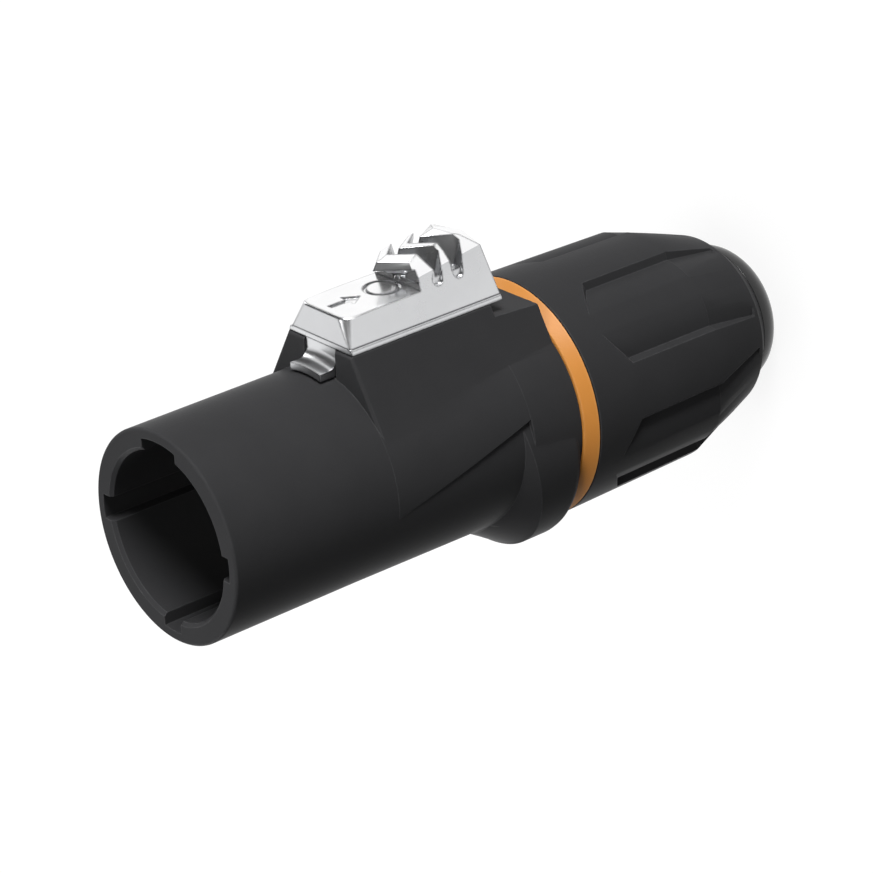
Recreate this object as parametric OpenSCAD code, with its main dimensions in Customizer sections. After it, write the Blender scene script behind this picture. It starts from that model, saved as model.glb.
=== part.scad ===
// Locking power connector for a mains cable.
// A keyed barrel with a sprung metal slide latch, a coloured seal ring and a screw-on back nut.
// It stands on its cable end with the mouth up. The origin is on the axis at the cable end,
// +Z points to the mouth and +Y to the latch. Sizes are in millimetres.
// Lengths along the axis are stations, counted backward from the mouth face.

/* [Barrel] */
// outside radius of the mating barrel
barrel_r = 11; // [10.9:0.05:11.1]
// radius of the mating bore
bore_r = 8.7; // [8.5:0.05:8.8]
// length of the bare barrel in front of the latch saddle
barrel_len = 19.8; // [19:0.1:21]
// width of the wide keyway, on the latch side
key_wide = 5.25; // [4.5:0.05:5.5]
// width of the three narrow keyways
key_narrow = 2.6; // [2:0.1:2.8]
// radius of the keyway floors
key_r = 9.95; // [9.6:0.05:10.1]

/* [Housing] */
// length of the saddle and collar, from the barrel to the seal ring
saddle_len = 23.3; // [23.2:0.1:25]
// height of the latch rails above the barrel
rail_h = 2.8; // [2.7:0.05:3.1]
// angle of the saddle flanks from the upright
flank_angle = 60.7; // [60:0.1:61.5]
// width of the channel between the rails
channel_w = 4.8; // [4.6:0.1:5]
// radius of the shroud behind the saddle, at the seal ring
shroud_r = 11.7; // [11.6:0.05:11.8]
// radius of the round collar under the shroud
collar_r = 11.94; // [11.85:0.01:12.05]
// distance of the collar centre below the axis
collar_drop = 2.4; // [2.2:0.05:2.6]

/* [Latch] */
// travel of the slide latch
latch_travel = 3.5; // [2.5:0.1:3.6]
// angle of the latch sides from the upright
latch_angle = 69.25; // [68.5:0.25:70]
// height of the latch's flat top above the rails
latch_h = 3.35; // [3.2:0.05:3.5]
// number of folds of the flat latch spring
spring_folds = 8; // [6:1:8]
// thickness of the spring strip, along the axis
strip = 0.3; // [0.2:0.02:0.34]

/* [Seal ring] */
// thickness of the coloured ring
ring_len = 1.36; // [1.2:0.02:1.6]
// outside radius of the ring at the housing
ring_r = 12.05; // [11.9:0.05:12.2]

/* [Back nut] */
// outside radius of the nut at the seal ring
nut_r = 12.85; // [12.75:0.05:13]
// fall of the outside radius along the grip
grip_fall = 0.31; // [0.2:0.01:0.45]
// length of the grip
grip_len = 17.64; // [17:0.1:18.5]
// length of the taper
taper_len = 8.6; // [8.4:0.1:9]
// outside radius at the end of the taper
taper_end_r = 9.65; // [9.6:0.05:9.8]
// length of the end bevel
bevel_len = 2; // [1.8:0.1:2.4]
// outside radius of the end face
end_r = 7.85; // [7.8:0.05:8.1]
// number of grip panels
panel_count = 5; // [4:1:5]
// angle of the first panel from the latch side
panel_angle = 42.2; // [36:0.2:48]
// half width of a panel floor
panel_w = 4.11; // [3.9:0.01:4.3]

/* [Cable entry] */
// length of the rubber lip behind the nut
lip_len = 2.9; // [2.6:0.1:3.2]
// radius of the hole for the cable
cable_r = 5; // [4.5:0.1:5.2]

/* [Contacts] */
// radius of the circle through the three contacts
contact_circle_r = 4.7; // [4.6:0.05:4.8]
// radius of a contact pin
pin_r = 1.25; // [1.1:0.05:1.4]
// station of the two power pin tips
pin_tip = 13.6; // [13:0.1:15]
// how much earlier the earth pin mates
earth_lead = 1; // [0.5:0.1:1]

/* [Hidden] */
$fn = 96;

// stations along the axis
s_saddle = barrel_len;
s_rear = s_saddle + saddle_len;
s_ring = s_rear + ring_len;
s_grip = s_ring + grip_len;
s_taper = s_grip + taper_len;
s_end = s_taper + bevel_len;
total_len = s_end + lip_len;

// fits
slip = 0.05;
touch = 0.02;
over = 1;
big = 60;
nut_gap = 0.15;

// housing
mouth_edge = 0.25;
rail_y = barrel_r + rail_h;
mate_len = s_saddle - 2;
flank_d = barrel_r + 0.02;
shroud_start_r = barrel_r + 0.04;
root_r = barrel_r + 0.2;
flank_x = (flank_d - rail_y * cos(flank_angle)) / sin(flank_angle);
shroud_y = -1.32;
shroud_slope = 15.48;
collar_edge = s_rear - 6.02;
collar_tilt = 11.3;
collar_cone = 41;
collar_round = 1.1;
notch_len = 5.5;
notch_y = rail_y - 1.1;
notch_slope = 4.8;
channel_r = barrel_r + 0.1;
channel_end = s_saddle + 16.6;
groove_x = 3.4;
groove_top = rail_y - 0.9;
groove_floor = rail_y - 1.9;
groove_start = s_saddle + 3.2;
key_len = 18;
cavity_len = 24;
liner_r = 9.25;
spigot_r = 10.4;
spigot_end = s_rear + 9.4;

// latch, measured from the rail tops and the saddle front
flange_y = rail_y + slip;
body_y = rail_y + 0.5;
latch_d = 9.367 + (rail_y - 13.8) * cos(latch_angle);
top_y = rail_y + latch_h;
front_s = s_saddle + 0.2;
step_s = s_saddle + 10.15;
rear_s = s_saddle + 19.42;
slot_y = rail_y + 4.07;
keel_x = channel_w / 2 - 0.1;
foot_x = groove_x - 0.1;
keel_r = barrel_r + 0.25;
lip_r = barrel_r + 1;
lip_s = s_saddle - 1.9;
fillet_s = s_saddle - 0.85;
fillet_r = 1.25;
spring_solid = 2.5;
keel_end = channel_end - latch_travel - spring_solid;
spring_y = rail_y - 1.3;
spring_reach = 0.95;
scoop_r = 1.878;
fin_tip_x = 6;
fin_side_x = 3.05;
fin_slot_r = 0.6;
fin_1_front = [[0, 7.12], [2.85, 9.9], [fin_tip_x, 10.15]];
fin_1_rear = [[fin_tip_x, 12.5], [fin_side_x, 12.5], [2.35, 11.68], [0, 8.97]];
fin_2_front = [[0, 10.38], [2.24, 13.72], [fin_tip_x, 13.82]];
fin_2_rear = [[fin_tip_x, 15.15], [fin_side_x, 15.15], [2.23, 14.37], [0, 11.54]];
fin_3_front = [[0, 12.96], [2.12, 16.43], [fin_tip_x, 16.53]];
fin_3_rear = [[fin_tip_x, 22], [0, 22]];
slot_1_s = 13.16;
slot_2_s = 15.84;
scoop_y = rail_y + 3.5;

// insert
gasket_s = 21.5;
carrier_front = 22.5;
carrier_end = s_rear + 2.9;
carrier_r = liner_r - 0.1;
seal_s = 28;
seal_wire_r = 0.8;
seal_mean_r = liner_r - seal_wire_r - touch;
lock_len = 3;
block_r = 2.4;
block_start = 33;
block_end = carrier_end - 1.5;
wire_hole_r = 1.6;
plate_x = 0.9;
plate_z = 2.5;
plate_t = 0.4;
plate_y = wire_hole_r - 0.6;
screw_s = 40;
screw_r = 1.2;
head_r = 1.9;
head_base = contact_circle_r + block_r;
line_angle = 300;
neutral_angle = 60;
earth_angle = 180;

// gland
collet_start = carrier_end + lock_len + 0.5;
flange_s = spigot_end;
flange_end = flange_s + 1.1;
grip_end_r = nut_r - grip_fall;
collet_body_r = 9.15;
jaw_s = s_grip - 3;
collet_end = s_taper - 2.4;
jaw_end_r = cable_r + 1.9;
sleeve_end = collet_end - 1.5;
sleeve_r = cable_r + 1.3;
sleeve_in_r = cable_r + 0.25;
slit_w = 1.1;
slit_s = flange_end + 2.4;
nut_thread_r = spigot_r + 0.08;
nut_cavity_r = collet_body_r + 0.35;
nut_pocket_r = jaw_end_r + 0.9;
nut_hole_r = cable_r + 1.95;
pocket_end = s_end - 2.1;
grommet_neck_r = nut_hole_r - 0.08;
grommet_flange_r = nut_pocket_r - 0.35;
lip_end_r = cable_r + 1.25;

// grip panels
panel_floor_r = 6.3;
panel_lift = 0.06;
panel_top = grip_end_r + panel_lift;
grip_draft = atan(grip_fall / grip_len);
panel_wall = 31.5;
panel_apex = s_ring + 3.14;
panel_chevron = 18.3;
panel_tilt = 16.2;

black = [0.12, 0.12, 0.13];
chrome = [0.78, 0.78, 0.8];
orange = [0.85, 0.5, 0.2];
rubber = [0.08, 0.08, 0.08];
brass = [0.8, 0.65, 0.3];
steel = [0.6, 0.6, 0.62];
grey = [0.55, 0.56, 0.58];

// straight or conical round bar between two stations, front radius first
module bar(front, back, r_front, r_back) {
    translate([0, 0, total_len - back])
        cylinder(h = back - front, r1 = r_back, r2 = r_front);
}

module rod(front, back, r) {
    bar(front, back, r, r);
}

// box from a width across x, a range of y and two stations
module block(half_x, y_low, y_high, front, back) {
    translate([-half_x, y_low, total_len - back])
        cube([2 * half_x, y_high - y_low, back - front]);
}

// round bar across x
module cross_bar(half_x, y, station, r) {
    translate([-half_x, y, total_len - station]) rotate([0, 90, 0])
        cylinder(h = 2 * half_x, r = r);
}

// profile of [y, station] points, extruded across x
module side_shape(half_x, points) {
    translate([-half_x, 0, 0]) rotate([90, 0, 90]) linear_extrude(2 * half_x)
        polygon([for (p = points) [p[0], total_len - p[1]]]);
}

// plan of [x, station] points, mirrored about x = 0 and extruded up y
module plan_shape(points, y_low, y_high) {
    count = len(points);
    right = [for (p = points) [p[0], total_len - p[1]]];
    left = [for (i = [count - 1:-1:0]) if (points[i][0] > 0) [-points[i][0], total_len - points[i][1]]];
    translate([0, y_high, 0]) rotate([90, 0, 0]) linear_extrude(y_high - y_low)
        polygon(concat(right, left));
}

// everything above the plane y = y0 + across * x + back * (station - s0)
module above(y0, s0, across, back) {
    lean = atan(back);
    translate([0, y0, total_len - s0]) rotate([lean, 0, 0]) rotate([0, 0, atan(across * cos(lean))])
        translate([-big / 2, 0, -big / 2]) cube(big);
}

module above_both(y0, s0, across, back) {
    above(y0, s0, across, back);
    mirror([1, 0, 0]) above(y0, s0, across, back);
}

// revolved profile of [radius, station] points
module turned(points) {
    rotate_extrude() polygon([for (p = points) [p[0], total_len - p[1]]]);
}

module around(angle) {
    rotate([0, 0, -angle]) children();
}

module housing_skin() {
    turned([[0, 0], [barrel_r - mouth_edge, 0], [barrel_r, mouth_edge], [barrel_r, mate_len],
        [root_r, s_rear], [0, s_rear]]);
    saddle();
    shroud();
    collar();
    rod(s_rear - over, spigot_end, spigot_r);
}

module saddle() {
    foot = [flank_d * sin(flank_angle), flank_d * cos(flank_angle)];
    inner = [0.75 * foot[0], 0.5 * foot[1]];
    translate([0, 0, total_len - s_rear]) linear_extrude(s_rear - s_saddle)
        polygon([[-inner[0], inner[1]], [-foot[0], foot[1]], [-flank_x, rail_y],
            [flank_x, rail_y], [foot[0], foot[1]], [inner[0], inner[1]]]);
}

module shroud() {
    intersection() {
        bar(s_saddle, s_rear, shroud_start_r, shroud_r);
        union() {
            translate([0, shroud_y, total_len - s_saddle]) rotate([shroud_slope, 0, 0])
                translate([-big / 2, 0, -big / 2]) cube(big);
            rod(collar_edge, s_rear + over, big / 2);
        }
    }
}

module collar() {
    small_r = collar_r - 12 * tan(collar_cone) + 0.11;
    large_r = collar_r + 12 * tan(collar_cone) + 0.11;
    intersection() {
        translate([0, -collar_drop, 0])
            turned([[0, s_saddle + 6], [collar_r, s_saddle + 6], [collar_r, s_rear - collar_round],
                [collar_r - 0.2, s_rear - 0.45 * collar_round],
                [collar_r - 0.55 * collar_round, s_rear - 0.1 * collar_round],
                [collar_r - collar_round, s_rear], [0, s_rear]]);
        translate([0, -collar_drop, total_len - collar_edge]) rotate([collar_tilt, 0, 0])
            translate([0, 0, -12]) cylinder(h = 24, r1 = large_r, r2 = small_r);
    }
}

module keyways() {
    intersection() {
        rod(-over, key_len, key_r);
        union() {
            block(key_wide / 2, 0, barrel_r, -over, key_len);
            block(key_narrow / 2, -barrel_r, 0, -over, key_len);
            around(90) block(key_narrow / 2, -barrel_r, barrel_r, -over, key_len);
        }
    }
}

module latch_channel() {
    difference() {
        block(channel_w / 2, 0, rail_y + over, s_saddle - over, channel_end);
        rod(s_saddle - 2 * over, channel_end + over, channel_r);
    }
    block(groove_x, groove_floor, groove_top, groove_start, channel_end);
}

module housing() color(black) {
    difference() {
        housing_skin();
        rod(-over, cavity_len + over, bore_r);
        rod(cavity_len, spigot_end + over, liner_r);
        keyways();
        latch_channel();
        translate([0, notch_y, total_len - (s_rear - notch_len)]) rotate([-notch_slope, 0, 0])
            translate([-big / 2, 0, -20]) cube([big, 20, 20]);
    }
}

module seal_ring() color(orange) {
    turned([[spigot_r + touch, s_rear], [ring_r, s_rear], [nut_r, s_ring], [spigot_r + touch, s_ring]]);
}

// the latch body: one flat top, three chevron fins and a grip behind them
function at_saddle(points) = [for (p = points) [p[0], s_saddle + p[1]]];

module fin(points, y0, s0, across, back) {
    difference() {
        plan_shape(at_saddle(points), rail_y + 2, rail_y + 9);
        above_both(rail_y + y0, s_saddle + s0, across, back);
    }
}

module fins() {
    difference() {
        fin(concat(fin_1_front, fin_1_rear), 6.27, 7.94, -0.374, 0.311);
        above_both(rail_y + 5.37, s_saddle + 7.12, -1.22, 1.098);
        scoops();
    }
    fin(concat(fin_2_front, fin_2_rear), 6.79, 10.38, -0.258, 0.155);
    difference() {
        fin(concat(fin_3_front, fin_3_rear), 7.13, 12.96, -0.472, 0.265);
        above_both(rail_y + 7.65, s_saddle + 14.92, -0.029, -0.357);
        above_both(rail_y + 6.3, s_saddle + 18.7, -0.301, -0.612);
    }
}

// the hollow under the first fin, for a thumb
module scoops() {
    intersection() {
        block(big / 2, top_y, rail_y + 9, s_saddle, step_s);
        union() {
            scoop();
            mirror([1, 0, 0]) scoop();
        }
    }
}

module scoop() {
    translate([0.12, scoop_y, total_len - s_saddle - 7.0]) rotate([0, 134.3, 0])
        cylinder(h = 16, r = scoop_r, center = true);
}

module latch_side_cut() {
    half = [for (y = [body_y - over, rail_y + 9]) (latch_d - y * cos(latch_angle)) / sin(latch_angle)];
    translate([0, 0, total_len - rear_s - over]) linear_extrude(rear_s - s_saddle + 2 * over)
        polygon([[-half[0], body_y - over], [half[0], body_y - over], [half[1], rail_y + 9],
            [-half[1], rail_y + 9]]);
}

module latch_body() {
    difference() {
        intersection() {
            latch_side_cut();
            side_shape(big / 2, [[body_y - 0.2, rear_s], [rail_y + 3.08, rear_s - 0.35],
                [rail_y + 9, rear_s - 1.18], [rail_y + 9, front_s], [top_y - 0.25, front_s + 0.38],
                [body_y - 0.2, front_s]]);
            union() {
                side_shape(big / 3, [[body_y - 0.2, rear_s + over], [slot_y, rear_s + over],
                    [slot_y, step_s], [top_y, step_s], [top_y, front_s - over],
                    [body_y - 0.2, front_s - over]]);
                fins();
            }
        }
        for (side = [-1, 1], slot_s = [slot_1_s, slot_2_s]) translate([side * (fin_side_x + 2), 0, 0])
            cross_bar(2, slot_y, s_saddle + slot_s, fin_slot_r);
    }
}

module latch_slide() color(chrome) {
    latch_body();
    translate([0, 0, total_len - rear_s]) linear_extrude(rear_s - front_s)
        polygon([[-flank_x, flange_y], [flank_x, flange_y], [flank_x - 0.17, body_y],
            [-flank_x + 0.17, body_y]]);
    block(foot_x, groove_floor + 0.1, groove_top - 0.1, groove_start + slip, keel_end - 1.2);
    difference() {
        union() {
            intersection() {
                block(keel_x, 0, rail_y, lip_s, s_saddle);
                rod(lip_s - over, s_saddle + over, lip_r);
            }
            block(keel_x, barrel_r - over, body_y - 0.1, fillet_s, keel_end);
        }
        rod(lip_s - over, keel_end + over, keel_r);
        cross_bar(keel_x + over, lip_r + fillet_r, fillet_s, fillet_r);
        block(keel_x + over, lip_r + fillet_r, rail_y + big, lip_s - over, fillet_s + fillet_r);
    }
}

// a flat strip folded to and fro between the keel and the end of the channel
module latch_spring() color(steel) {
    half_x = keel_x - 0.2;
    step = (channel_end - keel_end - strip) / spring_folds;
    low = spring_y - spring_reach;
    high = spring_y + spring_reach;
    for (i = [0:spring_folds]) block(half_x, low, high, keel_end + i * step, keel_end + i * step + strip);
    for (i = [0:spring_folds - 1]) block(half_x, i % 2 == 0 ? low : high - strip,
        i % 2 == 0 ? low + strip : high, keel_end + i * step, keel_end + (i + 1) * step + strip);
}

module mating_gasket() color(rubber) {
    turned([[bore_r - 1.3, gasket_s], [bore_r - touch, gasket_s], [bore_r - touch, carrier_front],
        [bore_r - 1.3, carrier_front]]);
}

module contact_holes(angle) {
    around(angle) translate([0, contact_circle_r, 0]) {
        rod(carrier_front - 3, block_start + over, pin_r + touch);
        rod(block_start, carrier_end + over, block_r + touch);
    }
    around(angle) translate([0, contact_circle_r, total_len - screw_s]) rotate([-90, 0, 0])
        cylinder(h = liner_r, r = head_r + 0.15);
}

module contact_carrier() color(grey) {
    difference() {
        turned([[0, gasket_s], [bore_r - 1.32, gasket_s], [bore_r - 1.32, carrier_front],
            [bore_r - slip, carrier_front], [bore_r - slip, cavity_len], [carrier_r, cavity_len],
            [carrier_r, seal_s - 0.85], [liner_r - 1.64, seal_s - 0.85], [liner_r - 1.64, seal_s + 0.85],
            [carrier_r, seal_s + 0.85], [carrier_r, carrier_end], [0, carrier_end]]);
        contact_holes(line_angle);
        contact_holes(neutral_angle);
        contact_holes(earth_angle);
    }
}

module carrier_seal() color(rubber) {
    translate([0, 0, total_len - seal_s]) rotate_extrude() translate([seal_mean_r, 0])
        circle(r = seal_wire_r);
}

module carrier_lock_ring() color(black) {
    difference() {
        rod(carrier_end, carrier_end + lock_len, liner_r - touch);
        rod(carrier_end - over, carrier_end + lock_len + over, liner_r - 2.4);
        for (angle = [0, 90]) around(angle)
            block(1, -big / 2, big / 2, carrier_end + 0.6 * lock_len, carrier_end + lock_len + over);
    }
}

module contact(angle, tip) {
    around(angle) difference() {
        translate([0, contact_circle_r, 0]) {
            turned([[0, tip], [0.55 * pin_r, tip], [0.9 * pin_r, tip + 0.5], [pin_r, tip + 1.2],
                [pin_r, block_start], [block_r, block_start], [block_r, block_end], [0, block_end]]);
        }
        translate([0, contact_circle_r, 0]) rod(block_start + 2.5, block_end + over, wire_hole_r);
        translate([0, contact_circle_r, total_len - screw_s]) rotate([-90, 0, 0])
            cylinder(h = 2 * block_r, r = screw_r + touch);
    }
}

module contact_line() color(brass) contact(line_angle, pin_tip);

module contact_neutral() color(brass) contact(neutral_angle, pin_tip);

module contact_earth() color(brass) contact(earth_angle, pin_tip - earth_lead);

module terminal_screw() {
    difference() {
        union() {
            cylinder(h = head_base, r = screw_r);
            translate([0, 0, head_base]) cylinder(h = 1.4, r = head_r);
        }
        translate([0, 0, -over]) cylinder(h = contact_circle_r + plate_y + over, r = 2 * screw_r);
        translate([-0.3, -big / 2, head_base + 0.7]) cube([0.6, big, 2]);
    }
}

module terminal_screws() color(steel) {
    for (angle = [line_angle, neutral_angle, earth_angle]) around(angle)
        translate([0, 0, total_len - screw_s]) rotate([-90, 0, 0]) terminal_screw();
}

module clamp_plates() color(steel) {
    for (angle = [line_angle, neutral_angle, earth_angle]) around(angle)
        translate([0, contact_circle_r, 0])
            block(plate_x, plate_y - plate_t, plate_y, screw_s - plate_z, screw_s + plate_z);
}

module cable_collet() color(grey) {
    difference() {
        turned([[sleeve_r, collet_start], [liner_r - touch, collet_start], [liner_r - touch, flange_s],
            [spigot_r - 0.2, flange_s], [spigot_r - 0.2, flange_end], [collet_body_r, flange_end],
            [collet_body_r, jaw_s], [jaw_end_r, collet_end], [sleeve_in_r + 0.4, collet_end],
            [sleeve_in_r + 0.4, sleeve_end], [sleeve_r, sleeve_end]]);
        for (angle = [0:60:120]) around(angle)
            block(slit_w / 2, -big / 2, big / 2, slit_s, collet_end + over);
    }
}

module cable_seal() color(rubber) {
    turned([[sleeve_in_r, slit_s + 0.5], [sleeve_r - touch, slit_s + 0.5],
        [sleeve_r - touch, sleeve_end - touch], [sleeve_in_r, sleeve_end - touch]]);
}

// one grip panel: a region with leaning walls and a chevron front, outside a rounded floor
module panel_section() {
    run = panel_w * 0.8;
    rise = tan(panel_wall);
    foot_y = panel_top - panel_floor_r + sqrt(panel_floor_r * panel_floor_r - panel_w * panel_w);
    low = foot_y - (panel_w - run) * rise;
    high = foot_y + 3.3 * rise;
    polygon([[-run, low], [run, low], [panel_w + 3.3, high], [panel_w + 3.3, high + 2],
        [-panel_w - 3.3, high + 2], [-panel_w - 3.3, high]]);
}

module panel_front() {
    translate([0, nut_r, total_len - panel_apex]) rotate([0, panel_chevron, 0]) rotate([45, 0, 0])
        translate([-big / 2, -big / 2, 0]) cube(big);
}

module panel_cut() {
    difference() {
        intersection() {
            panel_along(grip_draft) translate([0, 0, -over]) linear_extrude(grip_len + over)
                panel_section();
            block(big / 2, 0, big, s_ring, s_grip + 0.25);
        }
        panel_along(grip_draft) panel_floor();
        panel_front();
        mirror([1, 0, 0]) panel_front();
    }
    difference() {
        intersection() {
            panel_along(panel_tilt) translate([0, 0, -taper_len]) linear_extrude(taper_len + 4)
                panel_section();
            block(big / 2, 0, big, s_grip + 0.1, s_taper);
        }
        panel_along(panel_tilt) panel_floor();
    }
}

module panel_floor() {
    translate([0, panel_top - panel_floor_r, -big / 2]) cylinder(h = big, r = panel_floor_r);
}

// leans a piece back about the end of the grip
module panel_along(lean) {
    translate([0, panel_top, total_len - s_grip]) rotate([-lean, 0, 0]) translate([0, -panel_top, 0])
        children();
}

module back_nut() color(black) {
    difference() {
        turned([[nut_thread_r, s_ring + nut_gap], [nut_r, s_ring + nut_gap], [grip_end_r, s_grip],
            [taper_end_r, s_taper], [end_r, s_end], [nut_hole_r, s_end], [nut_hole_r, pocket_end],
            [nut_pocket_r, pocket_end], [nut_pocket_r, collet_end + 0.3], [nut_cavity_r, jaw_s + 0.6],
            [nut_cavity_r, flange_end + 1], [nut_thread_r, flange_end + 0.3]]);
        for (i = [0:panel_count - 1]) around(panel_angle + i * 360 / panel_count) panel_cut();
    }
}

module cable_grommet() color(rubber) {
    turned([[cable_r, collet_end + 0.9], [grommet_flange_r, collet_end + 0.9],
        [grommet_flange_r, pocket_end - slip], [grommet_neck_r, pocket_end - slip],
        [grommet_neck_r, s_end + slip], [end_r, s_end + slip], [end_r - 0.2, s_end + 0.3 * lip_len],
        [end_r - 0.65, s_end + 0.66 * lip_len], [lip_end_r + 0.2, s_end + 0.95 * lip_len],
        [lip_end_r, total_len], [cable_r, total_len]]);
}

housing();
seal_ring();
latch_slide();
latch_spring();
mating_gasket();
contact_carrier();
carrier_seal();
carrier_lock_ring();
contact_line();
contact_neutral();
contact_earth();
terminal_screws();
clamp_plates();
cable_collet();
cable_seal();
back_nut();
cable_grommet();
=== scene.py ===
"""Locking power connector: a keyed barrel with a slide latch, a seal ring and a screw-on back nut.

It stands on its cable end, mouth up. Stations are millimetres behind the mouth face.
"""

import math

import bpy
from bpy.props import FloatProperty, FloatVectorProperty, IntProperty, PointerProperty
from mathutils import Matrix, Vector


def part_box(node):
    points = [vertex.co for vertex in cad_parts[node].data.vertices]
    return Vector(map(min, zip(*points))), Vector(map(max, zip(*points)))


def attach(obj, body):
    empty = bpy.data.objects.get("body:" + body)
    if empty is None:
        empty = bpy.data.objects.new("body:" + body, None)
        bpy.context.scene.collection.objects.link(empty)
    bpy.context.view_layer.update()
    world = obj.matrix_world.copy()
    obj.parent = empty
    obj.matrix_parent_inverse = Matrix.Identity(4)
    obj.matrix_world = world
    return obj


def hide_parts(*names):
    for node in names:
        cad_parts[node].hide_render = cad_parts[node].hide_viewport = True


bl_info = {
    "name": "Locking power connector",
    "version": (1, 0, 0),
    "blender": (4, 5, 0),
    "location": "View3D > Sidebar > Connector",
    "description": "Models and finishes a round mains cable connector with a slide latch",
    "category": "Mesh",
}

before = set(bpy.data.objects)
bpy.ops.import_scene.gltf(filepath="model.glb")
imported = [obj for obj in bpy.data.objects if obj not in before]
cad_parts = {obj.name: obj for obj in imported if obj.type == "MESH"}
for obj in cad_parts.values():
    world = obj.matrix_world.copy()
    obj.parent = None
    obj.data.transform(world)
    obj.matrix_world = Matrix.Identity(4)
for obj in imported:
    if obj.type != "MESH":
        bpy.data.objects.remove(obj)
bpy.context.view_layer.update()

MM = 0.001
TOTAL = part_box("housing")[1].z / MM  # length of the connector, in millimetres
WELD = 2e-6  # points closer than this, in metres, become one
ROUND_STEPS = 192

# Stations, in millimetres behind the mouth
SADDLE = 19.8  # front of the saddle
REAR = 43.1  # rear face of the collar
RING = 44.46  # rear face of the seal ring
SPIGOT_END = 52.5  # end of the housing's threaded spigot
GRIP = 62.1  # where the nut's grip ends and its taper starts
TAPER = 70.7  # end of the nut's taper
END = 72.7  # end of the nut

# Radii of the spigot and of the bore that turns on it, in millimetres
SPIGOT_R = 10.4
NUT_BORE_R = 10.48

# Number of closed rings that stand for a thread, and the distance between them
THREAD_RINGS, PITCH = 6, 1.2


# Small helpers, in the order a modeller uses them


def rest():
    """Leaves edit mode with nothing selected."""
    if bpy.context.object and bpy.context.object.mode != "OBJECT":
        bpy.ops.object.mode_set(mode="OBJECT")
    bpy.ops.object.select_all(action="DESELECT")


def pick(piece):
    rest()
    piece.select_set(True)
    bpy.context.view_layer.objects.active = piece


def edit(piece, kind="VERT"):
    pick(piece)
    bpy.ops.object.mode_set(mode="EDIT")
    bpy.ops.mesh.select_mode(type=kind)
    bpy.ops.mesh.select_all(action="SELECT")


def at(x, y, station):
    """A point in metres from millimetres across, up and behind the mouth."""
    return Vector((x, y, TOTAL - station)) * MM


def trace(name, points, closed=True):
    """Draws a line through the points, one vertex after another, and fills it."""
    rest()
    bpy.ops.mesh.primitive_plane_add(size=MM, location=points[0])
    piece = bpy.context.object
    piece.name = piece.data.name = name
    bpy.ops.object.transform_apply(location=True, rotation=True, scale=True)
    edit(piece)
    bpy.ops.mesh.merge(type="CENTER")
    for here, there in zip(points, points[1:]):
        bpy.ops.mesh.extrude_vertices_move(TRANSFORM_OT_translate={"value": there - here})
    bpy.ops.mesh.select_all(action="SELECT")
    if closed:
        bpy.ops.mesh.edge_face_add()
    return piece


def close_seams(piece):
    edit(piece)
    bpy.ops.mesh.remove_doubles(threshold=WELD)
    bpy.ops.mesh.normals_make_consistent(inside=False)
    rest()
    return piece


def turn(name, profile, middle=(0, 0), steps=ROUND_STEPS):
    """Spins a profile of (radius, station) about the axis, or about a line beside it."""
    x, y = middle
    on_axis = profile[0][0] == 0 and profile[-1][0] == 0
    piece = trace(name, [at(x + r, y, s) for r, s in profile], closed=not on_axis)
    if not on_axis:
        bpy.ops.mesh.delete(type="ONLY_FACE")
        bpy.ops.mesh.select_all(action="SELECT")
    bpy.ops.mesh.spin(steps=steps, angle=math.tau, center=(x * MM, y * MM, 0), axis=(0, 0, 1))
    return close_seams(piece)


def arc(start, end, steps):
    """Angles from start to end, both in degrees, as radians."""
    return [math.radians(start + (end - start) * i / steps) for i in range(steps + 1)]


def thread_rings(crest, root, first, way):
    """The profile of closed thread rings from the first station on, backward (1) or forward (-1)."""
    profile = []
    for i in range(THREAD_RINGS):
        s = first + way * i * PITCH
        profile += [(crest, s), (root, s + way * 0.35), (root, s + way * 0.6), (crest, s + way * 0.95)]
    return profile


def push(name, outline, direction):
    """Extrudes a filled outline along a direction."""
    piece = trace(name, outline)
    bpy.ops.mesh.extrude_region_move(TRANSFORM_OT_translate={"value": direction})
    return close_seams(piece)


def across(name, half_x, profile):
    """Extrudes a side profile of (y, station) across x."""
    return push(name, [at(-half_x, y, s) for y, s in profile], Vector((2 * half_x * MM, 0, 0)))


def upward(name, plan, low, high, lean=0.0, level=0.0):
    """Extrudes half a plan of (x, station), mirrored about x = 0, from one height to another.

    The plan holds at the level, and the walls lean back by lean for each millimetre above it.
    """
    shift = lean * (level - low)
    right = [at(x, low, s - shift) for x, s in plan]
    left = [at(-x, low, s - shift) for x, s in reversed(plan) if x > 0]
    return push(name, right + left, Vector((0, high - low, -lean * (high - low))) * MM)


def block(name, half_x, low, high, front, back):
    return across(name, half_x, [(low, front), (high, front), (high, back), (low, back)])


def rod(name, start, end, radius, steps=64):
    """A round bar between two points."""
    rest()
    run = end - start
    bpy.ops.mesh.primitive_cylinder_add(
        vertices=steps, radius=radius * MM, depth=run.length, location=(start + end) / 2,
        rotation=run.to_track_quat("Z", "Y").to_euler())
    piece = bpy.context.object
    piece.name = piece.data.name = name
    bpy.ops.object.transform_apply(location=True, rotation=True, scale=True)
    return piece


def slice_off(piece, point, normal):
    """Cuts away what lies on the normal's side of a plane and closes the cut."""
    edit(piece)
    bpy.ops.mesh.bisect(plane_co=point, plane_no=normal, use_fill=True, clear_outer=True, threshold=1e-7)
    rest()
    return piece


def roof(piece, height, station, slope_x, slope_back):
    """Cuts a ridged top: the same leaning plane on the left and on the right."""
    for side in (1, -1):
        slice_off(piece, at(0, height, station), Vector((-side * slope_x, 1, slope_back)).normalized())
    return piece


def combine(piece, other, operation):
    pick(piece)
    mod = piece.modifiers.new(operation.lower(), "BOOLEAN")
    mod.operation, mod.solver, mod.object = operation, "EXACT", other
    bpy.ops.object.modifier_apply(modifier=mod.name)
    bpy.data.objects.remove(other)
    return piece


def join(piece, *others):
    for other in others:
        combine(piece, other, "UNION")
    return piece


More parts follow.
